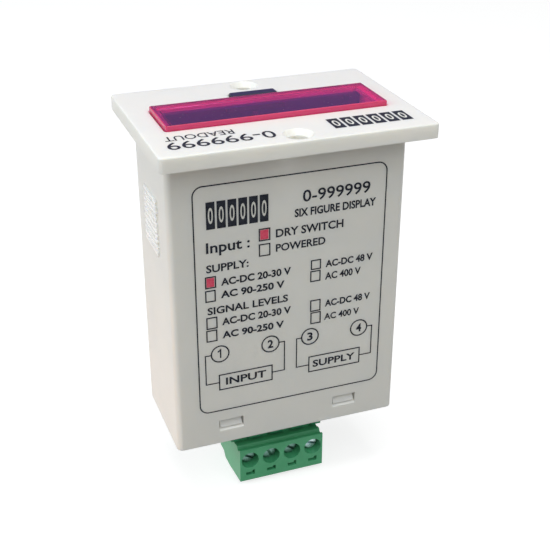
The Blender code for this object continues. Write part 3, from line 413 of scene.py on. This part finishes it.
def clearPlastic(look):
    material, sheet = emptyMaterial("magenta_lens")
    place = sheet.add("ShaderNodeTexCoord", output="Object")
    specks = sheet.add(
        "ShaderNodeTexVoronoi", {}, {"Vector": place, "Scale": 1 / look["dustSize"]}, "Distance"
    )
    dust = specks < look["dustShare"]
    wave = noise(sheet, place, look["waveSize"], 1.0)
    relief = reliefOf(sheet, wave, look["waveDepth"], look["waveForce"])
    clear = sheet.add(
        "ShaderNodeBsdfPrincipled",
        {},
        {
            "Base Color": blendColours(sheet, dust, look["tint"], look["dustShade"]),
            "Roughness": dust * look["dustRough"] + look["roughness"],
            "Normal": relief,
            "IOR": look["ior"],
            "Transmission Weight": 1.0,
        },
    )
    facing = sheet.add("ShaderNodeTexCoord", output="Normal")
    rightward, backward, upward = partsOf(sheet, facing)
    fromInside = sheet.add("ShaderNodeNewGeometry", output="Backfacing")
    # painted shade: frosted faces that look back or right, and faces hit from inside, take the
    # darker rim tone
    paintedRim = rightward + backward + fromInside * 2 > look["paintedRimFrom"]    # 2 outweighs any facing
    frosted = sheet.add(
        "ShaderNodeBsdfPrincipled",
        {},
        {
            "Base Color": blendColours(sheet, paintedRim, look["edgeShade"], look["rimPaintedShade"]),
            "Roughness": wave * look["edgeSpread"] + look["edgeRough"],
            "Normal": relief,
            "Subsurface Weight": look["edgeGlow"],
            "Subsurface Scale": look["edgeDepth"],
        },
    )
    side = (abs(upward) < look["flatFrom"]) * (partsOf(sheet, place)[2] > look["lipTop"])
    side = side * look["edgeShare"]
    plate = sheet.add("ShaderNodeMixShader", {}, {0: side, 1: clear, 2: frosted})
    lampPass = sheet.add("ShaderNodeBsdfTransparent", {}, {"Color": (*look["lampTint"], 1)})
    shadowRay = sheet.add("ShaderNodeLightPath", output="Is Shadow Ray")
    whole = sheet.add("ShaderNodeMixShader", {}, {0: shadowRay, 1: plate, 2: lampPass})
    sheet.add("ShaderNodeOutputMaterial", {}, {"Surface": whole})
    return material


materials["lens_red"] = clearPlastic(lensLook)


inkLook = {
    "coverSize": 0.5 * mm,
    "grainSize": 0.12 * mm,
    "grainDepth": 0.01 * mm,
    "roughness": 0.6,
    "roughSpread": 0.2,
    "ior": 1.2,
}


def inkOf(look, name, shade, tint):
    # printed ink: thin, a little uneven, with pinholes of lower cover in its shade
    material, sheet = emptyMaterial(name)
    place = sheet.add("ShaderNodeTexCoord", output="Object")
    cover = noise(sheet, place, look["coverSize"], cloudDetail)
    grain = noise(sheet, place, look["grainSize"])
    body = sheet.add(
        "ShaderNodeBsdfPrincipled",
        {},
        {
            "Base Color": driftOf(sheet, cover, shade, tint),
            "Roughness": (grain - 0.5) * look["roughSpread"] + look["roughness"],
            "IOR": look["ior"],
            "Normal": reliefOf(sheet, grain, look["grainDepth"], grainForce),
        },
    )
    sheet.add("ShaderNodeOutputMaterial", {}, {"Surface": body})
    return material


darkInk = inkOf(inkLook, "dark_ink", (0.012, 0.014, 0.022), (0.03, 0.033, 0.045))
redInk = inkOf(inkLook, "red_ink", (0.72, 0.075, 0.14), (0.80, 0.12, 0.19))
paleInk = inkOf(inkLook, "pale_ink", (0.72, 0.71, 0.67), (0.66, 0.655, 0.62))
segmentInk = inkOf(inkLook, "segment_face", (0.12, 0.18, 0.56), (0.15, 0.22, 0.62))
print("stage 2: finishes made")


# CAD nodes: finish, and round faces shaded round
smooth = {"mergeWithin": 0.002 * mm, "sharpFrom": math.radians(32), "weight": 50}
for piece in nodes.values():
    mesh = piece.data
    slotName = mesh.materials[0].name.split(".")[0]
    mesh.materials.clear()
    mesh.materials.append(materials[slotName])
    if "custom_normal" in mesh.attributes:
        mesh.attributes.remove(mesh.attributes["custom_normal"])
    mesh.polygons.foreach_set("use_smooth", [True] * len(mesh.polygons))
    join = piece.modifiers.new("join", "WELD")
    join.merge_threshold = smooth["mergeWithin"]
    part = piece.modifiers.new("sharp", "EDGE_SPLIT")
    part.split_angle = smooth["sharpFrom"]
    part.use_edge_sharp = False
    even = piece.modifiers.new("even", "WEIGHTED_NORMAL")
    even.mode = "FACE_AREA"
    even.weight = smooth["weight"]
print("stage 3: CAD nodes dressed")


def putIn(name, data):
    # a new object in the scene
    item = bpy.data.objects.new(name, data)
    bpy.context.scene.collection.objects.link(item)
    return item


def asMesh(holder):
    # what the object comes to, as a mesh of its own
    bpy.context.view_layer.update()
    shown = holder.evaluated_get(bpy.context.evaluated_depsgraph_get())
    mesh = bpy.data.meshes.new_from_object(shown)
    bpy.data.objects.remove(holder)
    return mesh


# flat shapes for the print
def polygonMesh(outlines, name):
    # each outline is a list of flat points, filled as one face
    mesh = bpy.data.meshes.new(name)
    shape = bmesh.new()
    for outline in outlines:
        corners = [shape.verts.new((x, y, 0)) for x, y in outline]
        shape.faces.new(corners)
    bmesh.ops.recalc_face_normals(shape, faces=shape.faces)
    for face in shape.faces:
        if face.normal.z < 0:
            face.normal_flip()
    shape.to_mesh(mesh)
    shape.free()
    return mesh


leastMitre = 0.3                      # keeps a sharp bend from running out to a spike


def strokeQuads(points, width, closed=False):
    # a line of that width along the points, as four-cornered outlines with mitred bends
    count = len(points)
    sides = []
    for index, point in enumerate(points):
        here = Vector(point)
        before = Vector(points[index - 1]) if closed or index else None
        after = Vector(points[(index + 1) % count]) if closed or index < count - 1 else None
        ways = []
        if before is not None:
            ways.append((here - before).normalized())
        if after is not None:
            ways.append((after - here).normalized())
        run = sum(ways, Vector((0, 0))).normalized()
        across = Vector((-run.y, run.x))
        turn = abs(across.dot(Vector((-ways[0].y, ways[0].x))))
        reach = width / 2 / max(leastMitre, turn)
        sides.append((here + across * reach, here - across * reach))
    quads = []
    for index in range(count if closed else count - 1):
        near, far = sides[index], sides[(index + 1) % count]
        quads.append([tuple(near[0]), tuple(near[1]), tuple(far[1]), tuple(far[0])])
    return quads


def boxOutline(left, bottom, right, top):
    return [(left, bottom), (right, bottom), (right, top), (left, top)]


def roundedOutline(left, bottom, right, top, radius, steps=8):
    points = []
    for x, y, start in (
        (right - radius, top - radius, 0),
        (left + radius, top - radius, 90),
        (left + radius, bottom + radius, 180),
        (right - radius, bottom + radius, 270),
    ):
        for step in range(steps + 1):
            turn = math.radians(start + 90 * step / steps)
            points.append((x + radius * math.cos(turn), y + radius * math.sin(turn)))
    return points


def ringOutline(x, y, radius, steps=40):
    turns = [2 * math.pi * step / steps for step in range(steps)]
    return [(x + radius * math.cos(turn), y + radius * math.sin(turn)) for turn in turns]


def wordMesh(words, left, bottom, right, top, weight=0.0):
    # words fitted to a field in the flat
    curve = bpy.data.curves.new("words", "FONT")
    curve.body = words
    curve.offset = weight
    curve.resolution_u = 3
    mesh = asMesh(putIn("words", curve))
    xs = [v.co.x for v in mesh.vertices]
    ys = [v.co.y for v in mesh.vertices]
    scaleX = (right - left) / (max(xs) - min(xs))
    scaleY = (top - bottom) / (max(ys) - min(ys))
    for v in mesh.vertices:
        v.co = ((v.co.x - min(xs)) * scaleX + left, (v.co.y - min(ys)) * scaleY + bottom, 0)
    return mesh


def joinMeshes(name, meshes):
    whole = bpy.data.meshes.new(name)
    shape = bmesh.new()
    for mesh in meshes:
        shape.from_mesh(mesh)
    shape.to_mesh(whole)
    shape.free()
    return whole


def layInk(name, meshes, material, place):
    # the flat meshes in millimetres become one piece at its place on the counter
    mesh = joinMeshes(name, meshes)
    mesh.transform(place @ Matrix.Scale(mm, 4))
    mesh.materials.clear()
    mesh.materials.append(material)
    mesh.update()
    piece = putIn(name, mesh)
    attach(piece, "counter")


inkLift = 0.015 * mm
frontFace = -12.15 * mm
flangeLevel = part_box("front_housing")[1].z
stoodUp = Matrix.Rotation(math.radians(90), 4, "X")
turnedRound = Matrix.Rotation(math.radians(180), 4, "Z")
onFront = Matrix.Translation((0, frontFace - inkLift, 0)) @ stoodUp
onFrontUpper = Matrix.Translation((0, -inkLift, 0)) @ onFront
onFlange = Matrix.Translation((0, 0, flangeLevel + inkLift)) @ turnedRound
onFlangeUpper = Matrix.Translation((0, 0, inkLift)) @ onFlange


# print on the body's front: fields as left, bottom, right, top in millimetres
label = {
    "frame": (-20.0, 24.8, 20.95, 76.7),
    "frameRadius": 2.0,
    "line": 0.27,
    "boxLine": 0.28,
    "wireLine": 0.25,
    "ringLine": 0.30,
    "digitCells": (-17.6, 67.5, -4.35, 73.3),
    "words": [
        ("0-999999", (2.7, 70.4, 17.4, 73.0), 0.013),
        ("SIX FIGURE DISPLAY", (1.0, 67.35, 18.8, 69.15), 0.032),
        ("Input :", (-17.6, 61.6, -8.5, 64.7), 0.019),
        ("DRY SWITCH", (-3.0, 63.55, 11.7, 65.4), 0.025),
        ("POWERED", (-3.0, 60.35, 7.8, 62.1), 0.025),
        ("SUPPLY:", (-17.7, 58.05, -8.8, 59.8), 0.025),
        ("AC-DC 20-30 V", (-14.7, 54.75, 0.3, 56.45), 0.034),
        ("AC 90-250 V", (-14.8, 51.9, -1.1, 53.6), 0.034),
        ("AC-DC 48 V", (7.95, 54.95, 18.6, 56.6), 0.034),
        ("AC 400 V", (7.9, 52.05, 16.0, 53.75), 0.028),
        ("SIGNAL LEVELS", (-17.7, 48.5, -0.3, 50.2), 0.025),
        ("AC-DC 20-30 V", (-14.7, 45.6, 0.35, 47.3), 0.034),
        ("AC 90-250 V", (-14.7, 42.45, -1.2, 44.15), 0.034),
        ("AC-DC 48 V", (8.0, 45.6, 18.4, 47.25), 0.034),
        ("AC 400 V", (7.9, 42.4, 16.0, 44.0), 0.028),
        ("INPUT", (-14.2, 31.0, -5.2, 32.8), 0.025),
        ("SUPPLY", (5.5, 31.1, 15.4, 32.85), 0.025),
    ],
    "tickBoxes": [
        (-6.5, 60.0, -4.3, 62.5),
        (-16.0, 51.6, -17.95, 54.0),
        (4.8, 55.0, 6.8, 57.0),
        (4.7, 52.2, 6.75, 54.5),
        (-17.9, 45.3, -15.8, 47.8),
        (4.8, 45.1, 6.9, 47.6),
        (-18.0, 42.3, -15.9, 44.8),
        (4.9, 42.1, 7.0, 44.65),
    ],
    "tickedBoxes": [(-6.5, 63.4, -4.3, 65.9), (-17.9, 54.7, -15.85, 57.1)],
    "tickInset": (0.2, 0.2, 0.25, 0.2),
    "poles": [("1", -15.3, 38.9), ("2", -4.2, 39.0), ("3", 4.75, 39.0), ("4", 16.1, 38.9)],
    "poleRadius": 1.9,
    "poleFigure": (0.62, 1.0, 0.032),    # half width, half height, weight
    "oneStrokes": [(-0.5, 0.5), (0.1, 0.98), (0.1, -1.0)],
    "wordBoxes": [(-15.6, 30.05, -3.85, 33.7), (4.6, 30.1, 16.45, 33.85)],
    "wires": [
        [(-17.2, 38.9), (-18.5, 38.9), (-18.5, 31.9), (-15.6, 31.9)],
        [(-2.3, 39.0), (-1.05, 39.0), (-1.05, 31.9), (-3.85, 31.9)],
        [(2.85, 39.0), (1.7, 39.0), (1.7, 31.9), (4.6, 31.9)],
        [(18.0, 38.9), (19.2, 38.9), (19.2, 31.9), (16.45, 31.9)],
    ],
}


cellRow = {"count": 6, "gap": 0.09, "inset": (0.27, 0.2), "weight": 0.012}


def digitCells(look, field):
    # a row of dark cells, and one figure for each
    left, bottom, right, top = field
    pitch = (right - left) / look["count"]
    gap = pitch * look["gap"]
    aside, above = pitch * look["inset"][0], (top - bottom) * look["inset"][1]
    cells, figures = [], []
    for index in range(look["count"]):
        start = left + index * pitch
        end = start + pitch
        cells.append(boxOutline(start + gap, bottom, end - gap, top))
        inner = (start + aside, bottom + above, end - aside, top - above)
        figures.append(wordMesh("0", *inner, look["weight"]))
    return polygonMesh(cells, "cells"), figures


def printFront(look):
    quads = strokeQuads(roundedOutline(*look["frame"], look["frameRadius"]), look["line"], True)
    for field in look["tickBoxes"] + look["tickedBoxes"] + look["wordBoxes"]:
        quads += strokeQuads(boxOutline(*field), look["boxLine"], True)
    for points in look["wires"]:
        quads += strokeQuads(points, look["wireLine"])
    for figure, x, y in look["poles"]:
        quads += strokeQuads(ringOutline(x, y, look["poleRadius"]), look["ringLine"], True)
    meshes = [polygonMesh(quads, "lines")]
    for words, field, weight in look["words"]:
        meshes.append(wordMesh(words, *field, weight))
    halfWide, halfHigh, weight = look["poleFigure"]
    for figure, x, y in look["poles"]:
        if figure == "1":             # drawn with strokes, for the font's own 1 is a bare bar
            one = [(x + aside, y + above) for aside, above in look["oneStrokes"]]
            meshes.append(polygonMesh(strokeQuads(one, look["ringLine"]), "one"))
        else:
            field = (x - halfWide, y - halfHigh, x + halfWide, y + halfHigh)
            meshes.append(wordMesh(figure, *field, weight))
    cells, figures = digitCells(cellRow, look["digitCells"])
    meshes.append(cells)
    layInk("label_lines", meshes, darkInk, onFront)
    layInk("label_figures", figures, paleInk, onFrontUpper)
    a, b, c, d = look["tickInset"]
    fills = [boxOutline(w + a, x + b, y - c, z - d) for w, x, y, z in look["tickedBoxes"]]
    layInk("label_ticks", [polygonMesh(fills, "ticks")], redInk, onFront)


printFront(label)

# print on the flange, read from the other side: fields before it is turned
flangeLabel = {
    "words": [
        ("0-999999", (4.0, 12.6, 25.0, 16.4), 0.006),
        ("READOUT", (11.0, 9.4, 24.5, 11.9), 0.006),
    ],
    "digitCells": (-24.6, 10.4, -7.6, 15.8),
}


def printFlange(look):
    meshes = [wordMesh(words, *field, weight) for words, field, weight in look["words"]]
    cells, figures = digitCells(cellRow, look["digitCells"])
    meshes.append(cells)
    layInk("flange_lines", meshes, darkInk, onFlange)
    layInk("flange_figures", figures, paleInk, onFlangeUpper)


printFlange(flangeLabel)
print("stage 4: print laid")


# digits behind the lens
digits = {
    "count": 3,
    "height": 9.1 * mm,
    "width": 4.6 * mm,
    "stroke": 1.05 * mm,
    "thickness": 0.06 * mm,
    "lift": 0.6,                      # of the thickness, above the module
    "slant": 0.14,
    "barSides": 6,
    "barRadius": 0.55,                # of the stroke
    "barInset": 0.6,
    "dotSides": 14,
    "dotRadius": 0.55 * mm,
    "dotAway": 2.2,                   # of its radius, beside the figure
}


def digitTree(look):
    tree = bpy.data.node_groups.new("seven_bar_digits", "GeometryNodeTree")
    face = tree.interface
    face.new_socket("Geometry", in_out="OUTPUT", socket_type="NodeSocketGeometry")
    for name in ("Pitch", "Height", "Width", "Stroke", "Thickness", "Slant", "Dot"):
        face.new_socket(name, in_out="INPUT", socket_type="NodeSocketFloat")
    face.new_socket("Count", in_out="INPUT", socket_type="NodeSocketInt")
    face.new_socket("Finish", in_out="INPUT", socket_type="NodeSocketMaterial")
    sheet = Sheet(tree)
    given = sheet.add("NodeGroupInput")
    pitch, high, wide, stroke = (given.other(n) for n in ("Pitch", "Height", "Width", "Stroke"))
    thick, slant, dot = (given.other(n) for n in ("Thickness", "Slant", "Dot"))

    def bar(length):
        # a six-cornered bar along x, drawn out from a small hexagon
        prism = sheet.add(
            "GeometryNodeMeshCylinder",
            {},
            {"Vertices": look["barSides"], "Radius": stroke * look["barRadius"], "Depth": thick},
            "Mesh",
        )
        x, y, z = partsOf(sheet, sheet.add("GeometryNodeInputPosition"))
        way = sheet.add("ShaderNodeMath", {"operation": "SIGN"}, {0: x})
        away = x + way * (length * 0.5 - stroke * look["barInset"])
        drawn = sheet.add("ShaderNodeCombineXYZ", {}, {"X": away, "Y": y, "Z": z})
        return sheet.add("GeometryNodeSetPosition", {}, {"Geometry": prism, "Position": drawn})

    def put(mesh, x, y, turn=0.0):
        place = sheet.add("ShaderNodeCombineXYZ", {}, {"X": x, "Y": y})
        return sheet.add(
            "GeometryNodeTransform",
            {},
            {"Geometry": mesh, "Translation": place, "Rotation": (0, 0, turn)},
        )

    level = bar(wide)
    upright = bar(high * 0.5)
    quarter = math.radians(90)
    bars = [put(level, 0.0, high * share) for share in (-0.5, 0.0, 0.5)]
    for side in (-0.5, 0.5):
        bars += [put(upright, wide * side, high * share, quarter) for share in (-0.25, 0.25)]
    point = sheet.add(
        "GeometryNodeMeshCylinder",
        {},
        {"Vertices": look["dotSides"], "Radius": dot, "Depth": thick},
        "Mesh",
    )
    bars.append(put(point, wide * 0.5 + dot * look["dotAway"], high * -0.5))
    figure = sheet.add("GeometryNodeJoinGeometry")
    joined = figure.socket.node
    for item in bars:
        tree.links.new(item.socket, joined.inputs[0])
    row = sheet.add(
        "GeometryNodeMeshLine",
        {"mode": "OFFSET"},
        {
            "Count": given.other("Count"),
            "Start Location": sheet.add("ShaderNodeCombineXYZ", {}, {"X": pitch * -1}),
            "Offset": sheet.add("ShaderNodeCombineXYZ", {}, {"X": pitch}),
        },
    )
    laid = sheet.add("GeometryNodeInstanceOnPoints", {}, {"Points": row, "Instance": figure})
    real = sheet.add("GeometryNodeRealizeInstances", {}, {"Geometry": laid})
    x, y, z = partsOf(sheet, sheet.add("GeometryNodeInputPosition"))
    leaning = sheet.add("ShaderNodeCombineXYZ", {}, {"X": x + y * slant, "Y": y, "Z": z})
    leaned = sheet.add("GeometryNodeSetPosition", {}, {"Geometry": real, "Position": leaning})
    done = sheet.add(
        "GeometryNodeSetMaterial", {}, {"Geometry": leaned, "Material": given.other("Finish")}
    )
    sheet.add("NodeGroupOutput", {}, {"Geometry": done})
    return tree


def plainMesh(name, tree, inputs):
    # what the tree makes with these inputs, as a mesh of its own
    holder = putIn(name + "_maker", bpy.data.meshes.new(name))
    maker = holder.modifiers.new("maker", "NODES")
    maker.node_group = tree
    for item in tree.interface.items_tree:
        if item.in_out == "INPUT" and item.name in inputs:
            maker[item.identifier] = inputs[item.name]
    return asMesh(holder)


def layDigits(look):
    tree = digitTree(look)
    for side in ("left", "right"):
        low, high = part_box("digit_module_" + side)
        inputs = {
            "Pitch": (high.x - low.x) / look["count"],
            "Height": look["height"] - look["stroke"],
            "Width": look["width"],
            "Stroke": look["stroke"],
            "Thickness": look["thickness"],
            "Slant": look["slant"],
            "Dot": look["dotRadius"],
            "Count": look["count"],
            "Finish": segmentInk,
        }
        mesh = plainMesh("digit_bars_" + side, tree, inputs)
        middle = (low + high) / 2
        middle.z = high.z + look["thickness"] * look["lift"]
        mesh.transform(Matrix.Translation(middle) @ turnedRound)
        piece = putIn("digit_bars_" + side, mesh)
        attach(piece, "counter")


layDigits(digits)
print("stage 5: digits laid")


# stage, lamps and camera
studio = {
    "floorReach": 3.0,
    "floorGlow": 0.74,
    "floorShade": (0.40, 0.40, 0.40),
    "floorBounce": (0.23, 0.22, 0.205),
    "skyLevel": 0.36,
    "skyTint": (0.97, 0.99, 1.0),
    "cardShade": (0.29, 0.20, 0.52),
    "cardSize": (0.45, 0.13, 0.55, 0.55),    # half width, lower and upper edge, distance
    "cardTurn": -20.0,
    "lamps": [
        # name, place, size, level at the object, colour
        ("overhead", (-0.06, -0.09, 0.80), 0.45, 0.48, (1.0, 1.0, 0.98)),
        ("leftSoft", (-0.62, 0.01, 0.36), 0.36, 0.415, (0.88, 1.0, 1.08)),
        ("lowLeft", (-0.09, 0.0, 0.004), 0.05, 0.22, (1.0, 0.52, 0.26)),
        ("frontSoft", (0.03, -0.22, 0.26), 0.22, 0.325, (0.98, 1.0, 1.0)),
    ],
    "aim": (0.0, 0.0, 0.045),
}


def layFloor(look):
    material, sheet = emptyMaterial("floor")
    rays = sheet.add("ShaderNodeLightPath", output="Is Camera Ray")
    seen = rays + rays.other("Is Glossy Ray") + rays.other("Is Transmission Ray")
    shown = sheet.add(
        "ShaderNodeAddShader",
        {},
        {
            0: sheet.add("ShaderNodeBsdfDiffuse", {}, {"Color": (*look["floorShade"], 1)}),
            1: sheet.add("ShaderNodeEmission", {}, {"Strength": look["floorGlow"]}),
        },
    )
    bounce = sheet.add("ShaderNodeBsdfDiffuse", {}, {"Color": (*look["floorBounce"], 1)})
    upper = sheet.add("ShaderNodeMixShader", {}, {0: seen, 1: bounce, 2: shown})
    under = sheet.add("ShaderNodeNewGeometry", output="Backfacing")
    clear = sheet.add("ShaderNodeBsdfTransparent")
    whole = sheet.add("ShaderNodeMixShader", {}, {0: under, 1: upper, 2: clear})
    sheet.add("ShaderNodeOutputMaterial", {}, {"Surface": whole})
    reach = look["floorReach"]
    mesh = polygonMesh([boxOutline(-reach, -reach, reach, reach)], "floor")
    mesh.materials.append(material)
    floor = putIn("floor", mesh)


def layCard(look):
    # a bluish card behind the object, seen only in its gloss and through the lens
    material, sheet = emptyMaterial("card")
    glow = sheet.add("ShaderNodeEmission", {}, {"Color": (*look["cardShade"], 1), "Strength": 1.0})
    sheet.add("ShaderNodeOutputMaterial", {}, {"Surface": glow})
    wide, low, high, far = look["cardSize"]
    mesh = polygonMesh([boxOutline(-wide, low, wide, high)], "card")
    turn = Matrix.Rotation(math.radians(look["cardTurn"]), 4, "Z")
    mesh.transform(turn @ Matrix.Translation((0, far, 0)) @ stoodUp)
    mesh.materials.append(material)
    card = putIn("card", mesh)
    card.visible_camera = False
    card.visible_diffuse = False
    card.visible_shadow = False


def layLamps(look):
    for name, place, size, level, colour in look["lamps"]:
        lamp = bpy.data.lights.new(name, "AREA")
        lamp.shape = "DISK"
        lamp.size = size
        lamp.color = colour
        away = Vector(place) - Vector(look["aim"])
        lamp.energy = level * math.pi ** 2 * away.length_squared    # so that the level arrives
        holder = putIn(name, lamp)
        holder.location = place
        holder.rotation_euler = away.to_track_quat("Z", "Y").to_euler()
        holder.visible_camera = False


def laySky(look):
    world = bpy.data.worlds.new("sky")
    world.use_nodes = True
    world.node_tree.nodes.clear()
    sheet = Sheet(world.node_tree)
    rays = sheet.add("ShaderNodeLightPath", output="Is Camera Ray")
    seen = rays + rays.other("Is Glossy Ray")
    tint = blendColours(sheet, seen, look["skyTint"], (1, 1, 1))
    level = seen * (1 - look["skyLevel"]) + look["skyLevel"]
    glow = sheet.add("ShaderNodeBackground", {}, {"Color": tint, "Strength": level})
    sheet.add("ShaderNodeOutputWorld", {}, {"Surface": glow})
    bpy.context.scene.world = world


viewpoint = {
    "place": (-0.068251, -0.189226, 0.15314),
    "tilt": 62.557,
    "turn": -20.177,
    "lens": 68.31,
    "sensor": 36,
    "reach": (0.01, 20),
}


def layCamera(look):
    camera = bpy.data.cameras.new("camera")
    camera.lens = look["lens"]
    camera.sensor_width = look["sensor"]
    camera.clip_start, camera.clip_end = look["reach"]
    holder = putIn("camera", camera)
    holder.location = look["place"]
    holder.rotation_euler = (math.radians(look["tilt"]), 0, math.radians(look["turn"]))
    bpy.context.scene.camera = holder


layFloor(studio)
layCard(studio)
layLamps(studio)
laySky(studio)
layCamera(viewpoint)
bpy.context.scene.view_settings.view_transform = "Standard"
print("stage 6: studio set")
